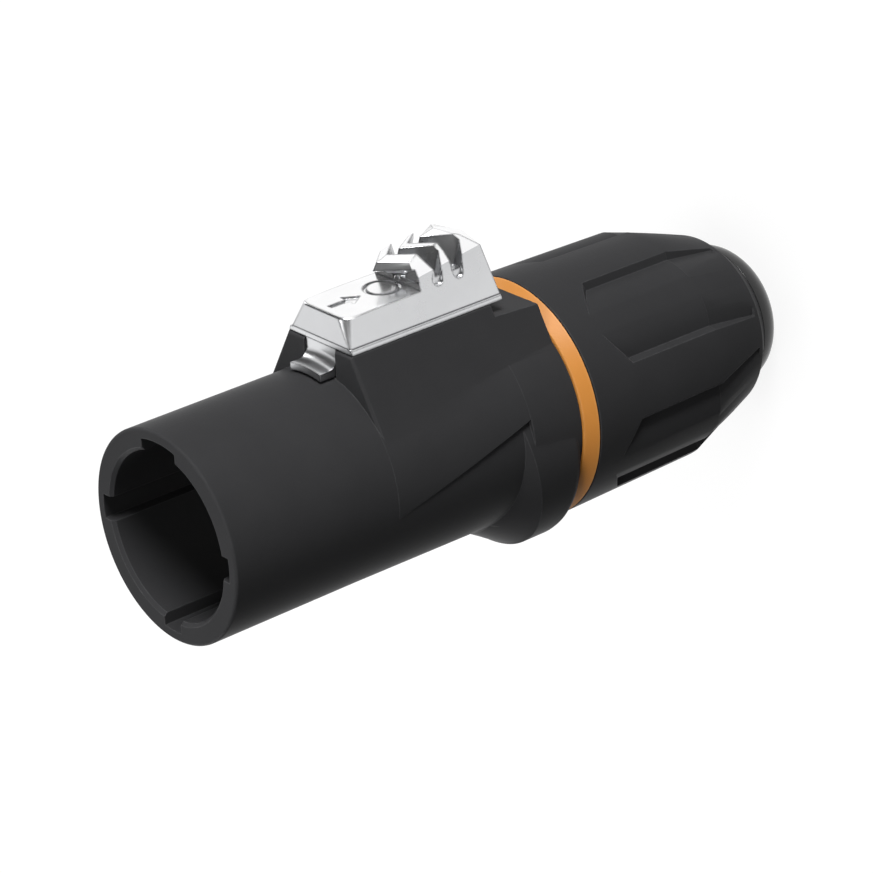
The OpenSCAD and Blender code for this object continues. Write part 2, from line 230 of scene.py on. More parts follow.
def cut(piece, *others):
    for other in others:
        combine(piece, other, "DIFFERENCE")
    return piece


def turned_copy(piece, angle):
    pick(piece)
    bpy.ops.object.duplicate()
    copy = bpy.context.object
    copy.rotation_euler = (0, 0, -math.radians(angle))
    bpy.ops.object.transform_apply(location=True, rotation=True, scale=True)
    return copy


def tidy_faces(piece, angle=0.3):
    edit(piece)
    bpy.ops.mesh.remove_doubles(threshold=WELD)
    bpy.ops.mesh.dissolve_limited(angle_limit=math.radians(angle))
    rest()
    return piece


def select_edges(piece, wanted):
    """Selects the edges whose two ends both pass the test, then goes to edit mode."""
    edit(piece, "EDGE")
    bpy.ops.mesh.select_all(action="DESELECT")
    bpy.ops.object.mode_set(mode="OBJECT")
    verts = piece.data.vertices
    for edge in piece.data.edges:
        ends = [verts[i].co / MM for i in edge.vertices]
        edge.select = wanted(*ends)
    bpy.ops.object.mode_set(mode="EDIT")


def round_edges(piece, wanted, width, steps=3):
    select_edges(piece, wanted)
    bpy.ops.mesh.bevel(offset=width * MM, segments=steps, affect="EDGES")
    rest()
    return piece


def soften(piece, width, steps=2, angle=32):
    """Rounds every edge sharper than the angle."""
    pick(piece)
    mod = piece.modifiers.new("soften", "BEVEL")
    mod.width, mod.segments = width * MM, steps
    mod.limit_method, mod.angle_limit = "ANGLE", math.radians(angle)
    mod.use_clamp_overlap = False
    bpy.ops.object.modifier_apply(modifier=mod.name)
    return piece


def finish_piece(piece, node, body, slot_name, smooth=30):
    """Shades the piece, gives it its finish and puts it in the place of its plain solid."""
    pick(piece)
    bpy.ops.object.shade_smooth_by_angle(angle=math.radians(smooth))
    mod = piece.modifiers.new("flat faces stay flat", "WEIGHTED_NORMAL")
    mod.keep_sharp = True
    bpy.ops.object.modifier_apply(modifier=mod.name)
    piece.data.materials.clear()
    piece.data.materials.append(bpy.data.materials[slot_name + "_finish"])
    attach(piece, body)
    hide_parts(node)
    return piece


# Finishes


def node_group(name, inputs, outputs):
    """A shader node group with its inputs as (label, kind, value) and its outputs as (label, kind)."""
    tree = bpy.data.node_groups.new(name, "ShaderNodeTree")
    for label, kind, value in inputs:
        socket = tree.interface.new_socket(label, in_out="INPUT", socket_type="NodeSocket" + kind)
        if value is not None:
            socket.default_value = value
    for label, kind in outputs:
        tree.interface.new_socket(label, in_out="OUTPUT", socket_type="NodeSocket" + kind)
    return tree, tree.nodes.new("NodeGroupInput"), tree.nodes.new("NodeGroupOutput")


# The colour sockets of a Mix node, by number, because each of its labels stands for several
MIX_A, MIX_B, MIX_RESULT = 6, 7, 2


def add(tree, kind, links=(), **values):
    """Adds a node, sets its own settings and the values of its inputs, and links its inputs."""
    node = tree.nodes.new("ShaderNode" + kind)
    for key, value in values.items():
        if hasattr(node, key):
            setattr(node, key, value)
        else:
            node.inputs[key.replace("_", " ").title()].default_value = value
    for target, source in dict(links).items():
        tree.links.new(source, node.inputs[target])
    return node


def grain_group():
    """Fine moulded or cast grain, with a slow change of tone across the piece."""
    tree, start, end = node_group(
        "moulded_grain",
        [("Place", "Vector", None), ("Grain", "Float", 4000.0), ("Patch", "Float", 120.0)],
        [("Height", "Float"), ("Tone", "Float")])
    fine = add(tree, "TexNoise", {"Vector": start.outputs["Place"], "Scale": start.outputs["Grain"]},
               detail=2.0, roughness=0.6)
    pits = add(tree, "TexVoronoi", {"Vector": start.outputs["Place"], "Scale": start.outputs["Grain"]})
    slow = add(tree, "TexNoise", {"Vector": start.outputs["Place"], "Scale": start.outputs["Patch"]},
               detail=4.0, roughness=0.55)
    both = add(tree, "Math", {0: fine.outputs[0], 1: pits.outputs["Distance"]}, operation="ADD")
    tree.links.new(both.outputs[0], end.inputs["Height"])
    tree.links.new(slow.outputs[0], end.inputs["Tone"])
    return tree


def edge_group():
    """A mask along edges, broken up by noise, for an edge colour that is part scuffs, part painted light."""
    tree, start, end = node_group(
        "scuffed_and_painted_edges",
        [("Place", "Vector", None), ("Reach", "Float", 0.0003), ("Breakup", "Float", 900.0),
         ("Evenness", "Float", 0.0)],
        [("Mask", "Float")])
    rounded = add(tree, "Bevel", {"Radius": start.outputs["Reach"]}, samples=4)
    plain = add(tree, "NewGeometry")
    match = add(tree, "VectorMath", {0: rounded.outputs[0], 1: plain.outputs["Normal"]},
                operation="DOT_PRODUCT")
    turned = add(tree, "MapRange", {"Value": match.outputs["Value"]}, from_min=0.993, from_max=0.95)
    noise = add(tree, "TexNoise", {"Vector": start.outputs["Place"], "Scale": start.outputs["Breakup"]},
                detail=3.0)
    even = add(tree, "Mix", {"Factor": start.outputs["Evenness"], "A": noise.outputs[0]}, b=1.0)
    mask = add(tree, "Math", {0: turned.outputs[0], 1: even.outputs[0]}, operation="MULTIPLY")
    tree.links.new(mask.outputs[0], end.inputs["Mask"])
    return tree


def finish_of(name, colour, scuff_and_painted_edge_colour, roughness, spread, grain, depth, scuff_and_painted_edge_amount, reach=0.3, even=0.0,
              edge=0.12, lathe=0.0, metallic=0.0, specular=0.5, ior=1.5):
    """Makes a material with grain, slow tone and roughness changes, soft edges and an edge colour.

    The edge colour is scuffs on most finishes, a painted highlight on the black plastic and a
    painted dark outline on the latch metal. The roughness swings by the spread. The grain is how
    often it repeats in a metre, and the depth, the reach of the edge colour and the edge's radius
    are in millimetres. A lathe value adds turning marks.
    """
    made = bpy.data.materials.new(name + "_finish")
    made.use_nodes = True
    tree = made.node_tree
    shader = tree.nodes["Principled BSDF"]
    place = add(tree, "TexCoord").outputs["Object"]
    marks = add(tree, "Group", {"Place": place}, node_tree=bpy.data.node_groups["moulded_grain"],
                grain=grain)
    edges = add(tree, "Group", {"Place": place}, node_tree=bpy.data.node_groups["scuffed_and_painted_edges"],
                reach=reach * MM, evenness=even)
    tone = add(tree, "Mix", {"Factor": marks.outputs["Tone"]}, data_type="RGBA")
    for socket, share in ((MIX_A, 0.86), (MIX_B, 1.14)):
        tone.inputs[socket].default_value = (*[min(1, c * share) for c in colour], 1)
    # The edge mask mixes in the edge colour: scuffs on most finishes, a painted highlight on the black
    # plastic and a painted dark outline on the latch metal.
    scuff_and_painted_edge_mix = add(tree, "Math", {0: edges.outputs["Mask"]}, operation="MULTIPLY")
    scuff_and_painted_edge_mix.inputs[1].default_value = scuff_and_painted_edge_amount
    tinted = add(tree, "Mix", {"Factor": scuff_and_painted_edge_mix.outputs[0], MIX_A: tone.outputs[MIX_RESULT]},
                 data_type="RGBA")
    tinted.inputs[MIX_B].default_value = (*scuff_and_painted_edge_colour, 1)
    rough = add(tree, "MapRange", {"Value": marks.outputs["Tone"]},
                to_min=roughness - spread, to_max=roughness + spread)
    soft = add(tree, "Bevel", samples=6, radius=edge * MM)
    height = marks.outputs["Height"]
    if lathe:
        rings = add(tree, "TexWave", {"Vector": place}, wave_type="BANDS", bands_direction="Z",
                    scale=lathe)
        height = add(tree, "Math", {0: height, 1: rings.outputs["Fac"]}, operation="ADD").outputs[0]
    bump = add(tree, "Bump", {"Height": height, "Normal": soft.outputs[0]},
               strength=0.5, distance=depth * MM)
    for label, source in (("Base Color", tinted.outputs[MIX_RESULT]), ("Roughness", rough.outputs[0]),
                          ("Normal", bump.outputs[0])):
        tree.links.new(source, shader.inputs[label])
    for label, value in (("Metallic", metallic), ("Specular IOR Level", specular), ("IOR", ior)):
        shader.inputs[label].default_value = value


def seen_rays(tree):
    """1 for the rays that show a thing in the picture, in a mirror or through glass, 0 for the rest."""
    rays = add(tree, "LightPath")
    shown = add(tree, "Math", {0: rays.outputs["Is Camera Ray"], 1: rays.outputs["Is Glossy Ray"]},
                operation="ADD")
    return add(tree, "Math", {0: shown.outputs[0], 1: rays.outputs["Is Transmission Ray"]},
               operation="ADD", use_clamp=True).outputs[0]


# Sizes and colours that a user may change


def measure(label, value, note):
    return FloatProperty(name=label, description=note, default=value, unit="NONE", precision=2)


def tint(label, value, note):
    return FloatVectorProperty(name=label, description=note, default=value, size=3, subtype="COLOR",
                               min=0, max=1)


class ConnectorSizes(bpy.types.PropertyGroup):
    barrel_r: measure("Barrel radius", 11.0, "Outside radius of the mating barrel, in millimetres")
    bore_r: measure("Bore radius", 8.7, "Radius of the mating bore, in millimetres")
    mouth_round: measure("Mouth rounding", 0.3, "Rounding of the barrel's front edge, in millimetres")
    rail_y: measure("Rail height", 13.8, "Height of the latch rails above the axis, in millimetres")
    flank_angle: measure("Flank angle", 60.7, "Angle of the saddle flanks from the upright, in degrees")
    collar_r: measure("Collar radius", 11.94, "Radius of the round collar, in millimetres")
    collar_drop: measure("Collar drop", 2.4, "How far the collar's centre is below the axis, in millimetres")
    latch_top: measure("Latch top", 17.15, "Height of the latch's flat top above the axis, in millimetres")
    latch_round: measure("Latch corner", 1.3, "Rounding of the latch's front corners, in millimetres")
    nut_r: measure("Nut radius", 12.85, "Radius of the back nut at the seal ring, in millimetres")
    grip_r: measure("Grip end radius", 12.54, "Radius where the nut's taper starts, in millimetres")
    panels: IntProperty(name="Grip panels", description="Number of recessed grip panels",
                        default=5, min=3, max=6)
    cable_r: measure("Cable radius", 5.0, "Radius of the cable hole, in millimetres")


class ConnectorColours(bpy.types.PropertyGroup):
    plastic: tint("Black plastic", (0.035, 0.035, 0.0365), "Housing and back nut")
    ring: tint("Seal ring", (0.56, 0.223, 0.041), "The coloured ring behind the collar")
    chrome: tint("Latch metal", (0.6, 0.605, 0.615), "The die-cast slide latch")
    rubber: tint("Rubber", (0.012, 0.012, 0.012), "The lip at the cable end")


def sizes():
    return bpy.context.scene.connector_sizes


def colours():
    return bpy.context.scene.connector_colours


# The pieces


class CONNECTOR_OT_finishes(bpy.types.Operator):
    """Makes the finishes and puts them on the pieces that stay as they were drawn"""

    bl_idname = "connector.finishes"
    bl_label = "Finishes"

    KEPT = {
        "spring_steel": ("latch_spring", "terminal_screws", "clamp_plates"),
        "black_rubber": ("mating_gasket", "carrier_seal", "cable_seal"),
        "grey_plastic": ("contact_carrier", "cable_collet"),
        "black_plastic": ("carrier_lock_ring",),
        "contact_brass": ("contact_line", "contact_neutral", "contact_earth"),
    }

    def execute(self, context):
        grain_group()
        edge_group()
        tone = colours()
        # The black plastic's lighter edges are part scuffs, part painted highlight.
        finish_of("black_plastic", tone.plastic, (0.13, 0.13, 0.135), 0.36, 0.05, grain=5200.0,
                  depth=0.012, scuff_and_painted_edge_amount=0.6, reach=0.16, edge=0.14, specular=0.06, ior=1.2)
        finish_of("orange_plastic", tone.ring, (0.88, 0.5, 0.22), 0.48, 0.05, grain=5200.0,
                  depth=0.01, scuff_and_painted_edge_amount=0.25, edge=0.06, specular=0.35)
        finish_of("black_rubber", tone.rubber, (0.03, 0.03, 0.03), 0.24, 0.05, grain=3200.0,
                  depth=0.01, scuff_and_painted_edge_amount=0.3, edge=0.1, specular=0.4)
        finish_of("grey_plastic", (0.07, 0.07, 0.075), (0.12, 0.12, 0.12), 0.5, 0.05, grain=4800.0,
                  depth=0.012, scuff_and_painted_edge_amount=0.4, specular=0.35)
        # Painted dark outline along nearly every edge of the latch metal: a painted dark reflection.
        painted_dark_outline = (0.05, 0.05, 0.055)
        cast = {"grain": 3800.0, "scuff_and_painted_edge_amount": 1.0, "reach": 0.28, "even": 0.85, "edge": 0.04, "metallic": 1.0}
        finish_of("chromed_zinc", tone.chrome, painted_dark_outline, 0.28, 0.04, depth=0.004, **cast)
        # A lit copy of the latch metal, near white, for the upper faces: painted highlight.
        finish_of("polished_top", (0.96, 0.96, 0.97), painted_dark_outline, 0.2, 0.03, depth=0.002, **cast)
        lathed = {"grain": 3000.0, "depth": 0.004, "scuff_and_painted_edge_amount": 0.5, "metallic": 1.0}
        finish_of("contact_brass", (0.8, 0.6, 0.3), (0.92, 0.78, 0.5), 0.24, 0.08, edge=0.05,
                  lathe=1400.0, **lathed)
        finish_of("spring_steel", (0.56, 0.56, 0.58), (0.75, 0.75, 0.77), 0.3, 0.08, edge=0.04,
                  lathe=1800.0, **lathed)
        for slot_name, names in self.KEPT.items():
            for name in names:
                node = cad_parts[name]
                node.data.materials.clear()
                node.data.materials.append(bpy.data.materials[slot_name + "_finish"])
        return {"FINISHED"}


class CONNECTOR_OT_housing(bpy.types.Operator):
    """Models the housing: barrel, saddle, shroud, flared collar and threaded spigot"""

    bl_idname = "connector.housing"
    bl_label = "Housing"

    # Ends of the saddle, the shroud, its back and the collar: a little apart, so that no two share a plane
    SADDLE_END, SHROUD_END, BACK_END, COLLAR_END = [REAR - gap for gap in (0.045, 0.06, 0.03, 0.015)]
    SHROUD_STEPS = 180

    def execute(self, context):
        size = sizes()
        r, edge = size.barrel_r, size.mouth_round
        mouth = [(r - edge + edge * math.sin(a), edge - edge * math.cos(a))
                 for a in [math.radians(d) for d in (0, 22, 45, 68, 90)]]
        core = turn("housing_body", [
            (0, 0), *mouth, (r, 17.8), (r + 0.2, REAR), (SPIGOT_R, REAR),
            *thread_rings(SPIGOT_R, 9.95, REAR + 2.1, 1),
            (SPIGOT_R, SPIGOT_END - 0.5), (9.9, SPIGOT_END), (0, SPIGOT_END)])
        join(core, self.saddle(size), self.shroud(r + 0.04), self.collar(size))
        cut(core, self.bore(size.bore_r), self.liner(), self.keyways(), self.channel(size))
        cut(core, across("notch", 20, [(12.7, 37.6), (20, 37.3), (20, 46), (12.24, 46)]))
        tidy_faces(core)
        finish_piece(core, "housing", "body", "black_plastic")
        return {"FINISHED"}

    def bore(self, r):
        """The mating bore, with a chamfer at the mouth."""
        chamfer, end = 0.35, 25
        wide = r + chamfer
        return turn("bore", [(0, -1), (wide, -1), (wide, 0.0), (r, chamfer), (r, end), (0, end)])

    def liner(self):
        """The wider hole behind the bore, which holds the insert."""
        r, start, end = 9.25, 24, SPIGOT_END + 1
        return turn("liner", [(0, start), (r, start), (r, end), (0, end)])

    def saddle(self, size):
        """The saddle: flanks that touch the barrel and a flat top, from the collar to its front."""
        a = math.radians(size.flank_angle)
        d = size.barrel_r + 0.02
        foot = (d * math.sin(a), d * math.cos(a))
        top = (d - size.rail_y * math.cos(a)) / math.sin(a)
        outline = [(-0.75 * foot[0], 0.5 * foot[1]), (-foot[0], foot[1]), (-top, size.rail_y),
                   (top, size.rail_y), foot, (0.75 * foot[0], 0.5 * foot[1])]
        back = self.SADDLE_END
        saddle = push("saddle", [at(x, y, back) for x, y in outline], Vector((0, 0, back - SADDLE)) * MM)
        front, deck = TOTAL - SADDLE - 0.01, size.rail_y - 0.01

        def at_front(p, q):
            return min(p.z, q.z) > front and min(p.y, q.y) > 3

        def along_top(p, q):
            return min(p.y, q.y) > deck and abs(p.z - q.z) > 5 and abs(p.x - q.x) < 0.01

        round_edges(saddle, at_front, 0.4, 4)
        return round_edges(saddle, along_top, 0.12, 2)

    def shroud(self, start):
        """The cone over the barrel, cut off below along a leaning plane, and its wider back."""
        end, back_start, back_end = self.SHROUD_END, REAR - 6.1, self.BACK_END
        cone = turn("shroud", [(0, SADDLE), (start, SADDLE), (11.7, end), (0, end)],
                    steps=self.SHROUD_STEPS)
        back = turn("shroud_back", [(0, back_start), (11.55, back_start), (11.72, back_end), (0, back_end)],
                    steps=self.SHROUD_STEPS)
        lean = math.radians(15.48)
        slice_off(cone, at(0, -1.32, SADDLE), Vector((0, -math.cos(lean), -math.sin(lean))))
        return join(cone, back)

    def collar(self, size):
        """The round collar, cut to a bell in front that tips downward."""
        r, start, end = size.collar_r, SADDLE + 6, self.COLLAR_END
        shape = turn("collar", [
            (0, start), (r, start), (r, REAR - 1.1), (r - 0.08, REAR - 0.7), (r - 0.3, REAR - 0.33),
            (r - 0.65, REAR - 0.08), (r - 1.1, end), (0, end)], middle=(0, -size.collar_drop))
        tip = math.radians(11.3)
        bell = [(0, -11), (25, -11), (14.2, -1.35), (12.35, -0.22), (12.05, 0.0), (11.7, 0.34),
                (11.1, 1.0), (10.4, 1.75), (9.65, 2.6), (8.9, 3.5), (8.2, 4.5), (7.6, 5.5),
                (6.9, 7.0), (6.1, 9.6), (0, 9.6)]
        flare = turn("flare", [(radius, TOTAL - z) for radius, z in bell])
        flare.matrix_world = (Matrix.Translation(at(0, -size.collar_drop, REAR - 6.02))
                              @ Matrix.Rotation(tip, 4, "X"))
        pick(flare)
        bpy.ops.object.transform_apply(location=True, rotation=True, scale=True)
        return combine(shape, flare, "INTERSECT")

    def keyways(self):
        """The four grooves in the bore: a wide one above, a narrow one below and one at each side."""
        r, end, half_wide, half_narrow = 9.95, 18, 2.625, 1.3
        beyond, before, behind = 12, -2, end + 1
        keys = turn("keyways", [(0, -1), (r, -1), (r, end), (0, end)])
        wide = block("wide_key", half_wide, 0, beyond, before, behind)
        down = block("narrow_key", half_narrow, -beyond, 0, before, behind)
        upright = block("side_keys", half_narrow, -beyond, beyond, before, behind)
        side = turned_copy(upright, 90)
        bpy.data.objects.remove(upright)
        return combine(keys, join(wide, down, side), "INTERSECT")

    def channel(self, size):
        """The way of the latch's keel through the saddle's top, with a groove for its foot."""
        start, end, floor_r = SADDLE - 2, 38, 11.1
        channel = block("channel", 2.4, 0, size.rail_y + 1, SADDLE - 1, 36.4)
        cut(channel, turn("channel_floor", [(0, start), (floor_r, start), (floor_r, end), (0, end)]))
        return join(channel, block("groove", 3.4, 11.9, 12.9, 23, 36.4))


class CONNECTOR_OT_seal_ring(bpy.types.Operator):
    """Models the coloured ring between the collar and the back nut"""

    bl_idname = "connector.seal_ring"
    bl_label = "Seal ring"

    def execute(self, context):
        inner = SPIGOT_R + 0.02
        ring = turn("seal_ring_body", [
            (inner, REAR), (11.95, REAR), (12.03, REAR + 0.03), (12.08, REAR + 0.1), (12.5, REAR + 0.83),
            (12.79, RING - 0.09), (12.82, RING - 0.03), (12.78, RING), (inner, RING)])
        finish_piece(ring, "seal_ring", "body", "orange_plastic", 35)
        return {"FINISHED"}


class CONNECTOR_OT_latch(bpy.types.Operator):
    """Models the die-cast slide latch with its flat top and three chevron fins"""

    bl_idname = "connector.latch"
    bl_label = "Slide latch"

    LEAN = math.radians(69.25)  # slope of the two sides
    SIDE = 9.367  # distance of the sides' planes from the axis
    FRONT, STEP, BACK = 20.0, 29.95, 39.22  # stations of the nose, the step to the fins and the rear
    LOW, DECK = 14.1, 17.87  # heights of the body's foot and of the floor between the fins
    CREASE = 18.4  # height above which the sides lean further in
    GAPS, GAP_X, GAP_R = (32.3, 34.95), 3.05, 0.6  # the gaps that run down the sides between the fins
    MARK_DEPTH = 0.22  # depth of the arrow and the ring

    def half(self, y):
        """Half the width of the body at a height."""
        return (self.SIDE - y * math.cos(self.LEAN)) / math.sin(self.LEAN)

    def execute(self, context):
        size = sizes()
        top = size.latch_top
        foot, front, rear = self.LOW - 0.2, self.FRONT - 1, 41
        latch = across("latch_body", 6.4, [(foot, front), (top, front), (top, self.STEP),
                                           (self.DECK, self.STEP), (self.DECK, rear), (foot, rear)])
        join(latch, *self.fins())
        for side in (1, -1):
            slice_off(latch, at(side * self.half(self.CREASE), self.CREASE, self.STEP),
                      Vector((side * 0.866, 0.5, 0.019)))
        cut(latch, *[self.gap(side, station) for side in (-1, 1) for station in self.GAPS])
        combine(latch, self.shell(size), "INTERSECT")
        tidy_faces(latch)
        step_z = TOTAL - self.STEP + 0.001

        def around_top(p, q):
            level = min(p.y, q.y) > top - 0.001 and max(p.y, q.y) < top + 0.001
            return level and min(p.z, q.z) > step_z and abs(p.z - q.z) < 5

        round_edges(latch, around_top, 0.25, 5)
        cut(latch, self.arrow(size), self.ring(size))
        join(latch, self.flange(size), self.keel())
        tidy_faces(latch)
        soften(latch, 0.05, 2, 38)
        finish_piece(latch, "latch_slide", "latch", "chromed_zinc")
        # The upper faces and the step's face get a painted highlight.
        self.polish(latch)
        return {"FINISHED"}

    def polish(self, latch):
        """Paints the upper faces and the upright face of the step brighter with a lit copy of the latch
        metal: painted highlight.
        """
        latch.data.materials.append(bpy.data.materials["polished_top_finish"])
        step_z = at(0, 0, self.STEP).z
        for face in latch.data.polygons:
            upper = face.normal.z < 0.3 and face.normal.y > 0.45
            step = face.normal.z > 0.99 and abs(face.center.z - step_z) < 0.15 * MM
            if face.center.y > 16.5 * MM and (upper or step):
                face.material_index = 1

    def gap(self, side, station):
        """The round-ended gap between two fins, where it runs down the side."""
        r, middle, mouth = self.GAP_R, 17.65, 18.6
        foot = [(middle - r * math.sin(a), station - r * math.cos(a)) for a in arc(0, 180, 12)]
        outline = [(mouth, station - 0.3), *foot, (mouth, station + 0.9)]
        return push("gap", [at(side * self.GAP_X, y, s) for y, s in outline],
                    Vector((side * 5 * MM, 0, 0)))

    def shell(self, size):
        """The outside of the body: leaning sides and ends, with front corners that widen upward."""
        rings = []
        for y in (self.LOW, size.latch_top + 0.4, 22.6):
            rise = (y - self.LOW) / (size.latch_top - self.LOW)
            x, front = self.half(y), self.FRONT + 0.38 * rise
            corner = min(0.25 + (size.latch_round - 0.25) * rise, 0.9 * x)
            bend = [(x - corner + corner * math.sin(a), front + corner - corner * math.cos(a))
                    for a in arc(0, 90, 10)]
            half = [*bend, (x, self.BACK - 0.14 * (y - self.LOW))]
            rings.append([at(px, y, s) for px, s in half] + [at(-px, y, s) for px, s in reversed(half)])
        lowest, *higher = [trace("latch_shell", ring) for ring in rings]
        pick(lowest)
        for ring in higher:
            ring.select_set(True)
        bpy.ops.object.join()
        edit(lowest, "EDGE")
        bpy.ops.mesh.delete(type="ONLY_FACE")
        bpy.ops.mesh.select_all(action="SELECT")
        bpy.ops.mesh.bridge_edge_loops()
        bpy.ops.mesh.select_all(action="SELECT")
        bpy.ops.mesh.fill_holes(sides=0)
        return close_seams(lowest)

    def fins(self):
        """The three fins from the front backward: chevrons in plan, each with a ridged top."""
        tip, side, top = 6, self.GAP_X, 22.8
        gap, next_gap = self.GAPS
        first = upward("fin_1", [(0, 26.92), (2.85, 29.7), (tip, self.STEP), (tip, gap), (side, gap),
                                 (2.35, 31.48), (0, 28.84)], 16.8, top)
        roof(first, 20.07, 27.74, -0.374, 0.311)
        for s in (1, -1):
            slice_off(first, at(0, 19.17, 26.92), Vector((s * 1.3, 0.8, 1.2)).normalized())
        for s in (1, -1):
            cut(first, self.scoop(s))
        upper = {"low": 17.5, "high": top, "lean": 0.3, "level": 20.2}
        second = upward("fin_2", [(0, 30.18), (2.24, 33.52), (tip, 33.62), (tip, next_gap),
                                  (side, next_gap), (2.23, 34.17), (0, 31.34)], **upper)
        roof(second, 20.59, 30.18, -0.258, 0.155)
        third = upward("fin_3", [(0, 32.76), (2.12, 36.23), (tip, 36.33), (tip, 41.8), (0, 41.8)], **upper)
        roof(third, 20.93, 32.76, -0.472, 0.265)
        roof(third, 21.45, 34.72, -0.029, -0.357)
        roof(third, 20.1, 38.5, -0.301, -0.612)
        return first, second, third

    def scoop(self, side):
        """The round hollow under one half of the first fin's front."""
        way, reach, radius = math.radians(134.3), 8, 1.878
        direction = Vector((side * math.sin(way), 0, math.cos(way)))
        middle = at(side * 0.12, 17.3, 26.8)
        scoop = rod("scoop", middle - direction * reach * MM, middle + direction * reach * MM, radius)
        return slice_off(scoop, at(0, 0, self.STEP + 0.12), Vector((0, 0, -1)))

    def arrow(self, size):
        """A plain arrow that points the way the latch is pulled."""
        y = size.latch_top - self.MARK_DEPTH
        return upward("arrow", [(0, 21.4), (0.32, 21.4), (0.32, 23.6), (1.05, 23.6), (0, 25.2)], y, y + 1)

    def ring(self, size):
        """A plain sunk ring behind the arrow."""
        y, middle = size.latch_top - self.MARK_DEPTH, 27.95
        outside, inside = [
            [(abs(round(r * math.sin(a), 6)), middle - r * math.cos(a)) for a in arc(0, 180, 18)]
            for r in (1.9, 1.55)]
        return cut(upward("ring", outside, y, y + 1), upward("ring_inside", inside, y - 1, y + 2))

    def flange(self, size):
        """The rim under the body, which rides on the saddle's top."""
        x, low, shoulder, deck = 4.87, size.rail_y + 0.05, 14.3, 14.4
        outline = [(-x, low), (x, low), (x - 0.17, shoulder), (x - 0.67, deck),
                   (-x + 0.67, deck), (-x + 0.17, shoulder)]
        shape = push("flange", [at(px, y, self.BACK) for px, y in outline],
                     Vector((0, 0, (self.BACK - self.FRONT) * MM)))
        front = TOTAL - self.FRONT - 0.01

        def front_corner(p, q):
            outside = min(abs(p.x), abs(q.x)) > 4.6
            return outside and min(p.z, q.z) > front and abs(p.x - q.x) < 0.3

        return round_edges(shape, front_corner, 0.05, 1)

    def keel(self):
        """The tongue in front of the saddle and the guide behind it, under a concave fillet."""
        under, lip, deck, front, rear = 11.25, 12.0, 14.25, 17.9, 30.4
        start, r = 18.95, 1.08
        bend = [(lip + r - r * math.cos(a), start + r * math.sin(a)) for a in arc(0, 90, 6)]
        keel = turn("keel", [(under, front), (lip, front), *bend, (deck, start + r), (deck, rear),
                             (under, rear)])
        combine(keel, block("keel_width", 2.3, 5, 20, 16, 32), "INTERSECT")
        return join(keel, block("foot", 3.3, 12.0, 12.8, 23.05, 29.2))


class CONNECTOR_OT_back_nut(bpy.types.Operator):
    """Models the tapered back nut with its recessed grip panels"""

    bl_idname = "connector.back_nut"
    bl_label = "Back nut"

    # Radius of a panel's floor, half its width and the lean of its walls
    FLOOR, HALF, WALL = 6.3, 4.11, math.radians(31.5)
    FIRST_PANEL = 42.2  # degrees from the latch to the first panel

    def execute(self, context):
        size = sizes()
        r, start = size.nut_r, RING + 0.15
        outside = [(NUT_BORE_R, start), (r - 0.1, start), (r - 0.02, start + 0.04), (r, start + 0.12),
                   (size.grip_r, GRIP), (9.65, TAPER), (9.55, TAPER + 0.1), (7.95, END - 0.06), (7.8, END)]
        inside = [(6.95, END), (6.95, 70.6), (7.8, 70.6), (7.8, 68.6), (9.5, 59.7), (9.5, 54.6),
                  (NUT_BORE_R, 53.9), *thread_rings(NUT_BORE_R, 10.9, 52.4, -1)]
        nut = turn("back_nut_body", outside + inside)
        panel = self.panel(size)
        for i in range(size.panels):
            cut(nut, turned_copy(panel, self.FIRST_PANEL + i * 360 / size.panels))
        bpy.data.objects.remove(panel)
        tidy_faces(nut)
        finish_piece(nut, "back_nut", "nut", "black_plastic", 25)
        return {"FINISHED"}

    def section(self, top):
        """The panel's section: a rounded floor between two leaning walls."""
        floor = []
        for i in range(13):
            x = self.HALF * (1 - i / 6)
            floor.append((x, top - self.FLOOR + math.sqrt(self.FLOOR ** 2 - x * x)))
        spread = 3.3
        wing, high = self.HALF + spread, floor[0][1] + spread * math.tan(self.WALL)
        return [(wing, high), *floor, (-wing, high), (-wing, high + 2), (wing, high + 2)]

    def run(self, name, top, lean, back, front):
        """One straight run of the panel, leaning about the end of the grip."""
        pivot = at(0, top, GRIP)
        tilt = Matrix.Rotation(-lean, 3, "X")
        outline = [pivot + tilt @ (Vector((x, y - top, back)) * MM) for x, y in self.section(top)]
        return push(name, outline, tilt @ Vector((0, 0, (front - back) * MM)))

    def panel(self, size):
        """One panel: a run along the grip with a pointed front, and a run down the taper."""
        top = size.grip_r + 0.06
        fall = math.atan((size.nut_r - size.grip_r) / (GRIP - RING))
        grip = self.run("panel", top, fall, -0.3, 17)
        for side in (1, -1):
            slice_off(grip, at(0, size.nut_r, RING + 3.14), Vector((side * 0.222, -0.7071, 0.6713)))
        taper = self.run("panel_taper", top, math.radians(16.2), -8.6, 1.2)
        slice_off(taper, at(0, 0, GRIP + 0.02), Vector((0, 0, 1)))
        slice_off(grip, at(0, 0, GRIP + 0.2), Vector((0, 0, -1)))
        slice_off(taper, at(0, 0, TAPER), Vector((0, 0, -1)))
        return join(grip, taper)


class CONNECTOR_OT_grommet(bpy.types.Operator):
    """Models the rubber grommet whose lip closes the cable end"""

    bl_idname = "connector.grommet"
    bl_label = "Cable grommet"

    def execute(self, context):
        r = sizes().cable_r
        neck = [(r + 0.15, 69.2), (7.45, 69.2), (7.45, 70.55), (6.87, 70.55), (6.87, END + 0.05)]
        lip = [(7.72, END + 0.05), (7.83, END + 0.12), (7.85, END + 0.3), (7.8, END + 0.8),
               (7.66, END + 1.3), (7.42, END + 1.8), (7.08, END + 2.25), (6.75, END + 2.6),
               (6.5, TOTAL - 0.1), (6.25, TOTAL - 0.01), (6.1, TOTAL)]
        hole = [(r + 0.4, TOTAL), (r + 0.12, TOTAL - 0.08), (r, TOTAL - 0.35), (r, 69.5)]
        grommet = turn("cable_grommet_body", neck + lip + hole)
        finish_piece(grommet, "cable_grommet", "gland", "black_rubber", 40)
        return {"FINISHED"}


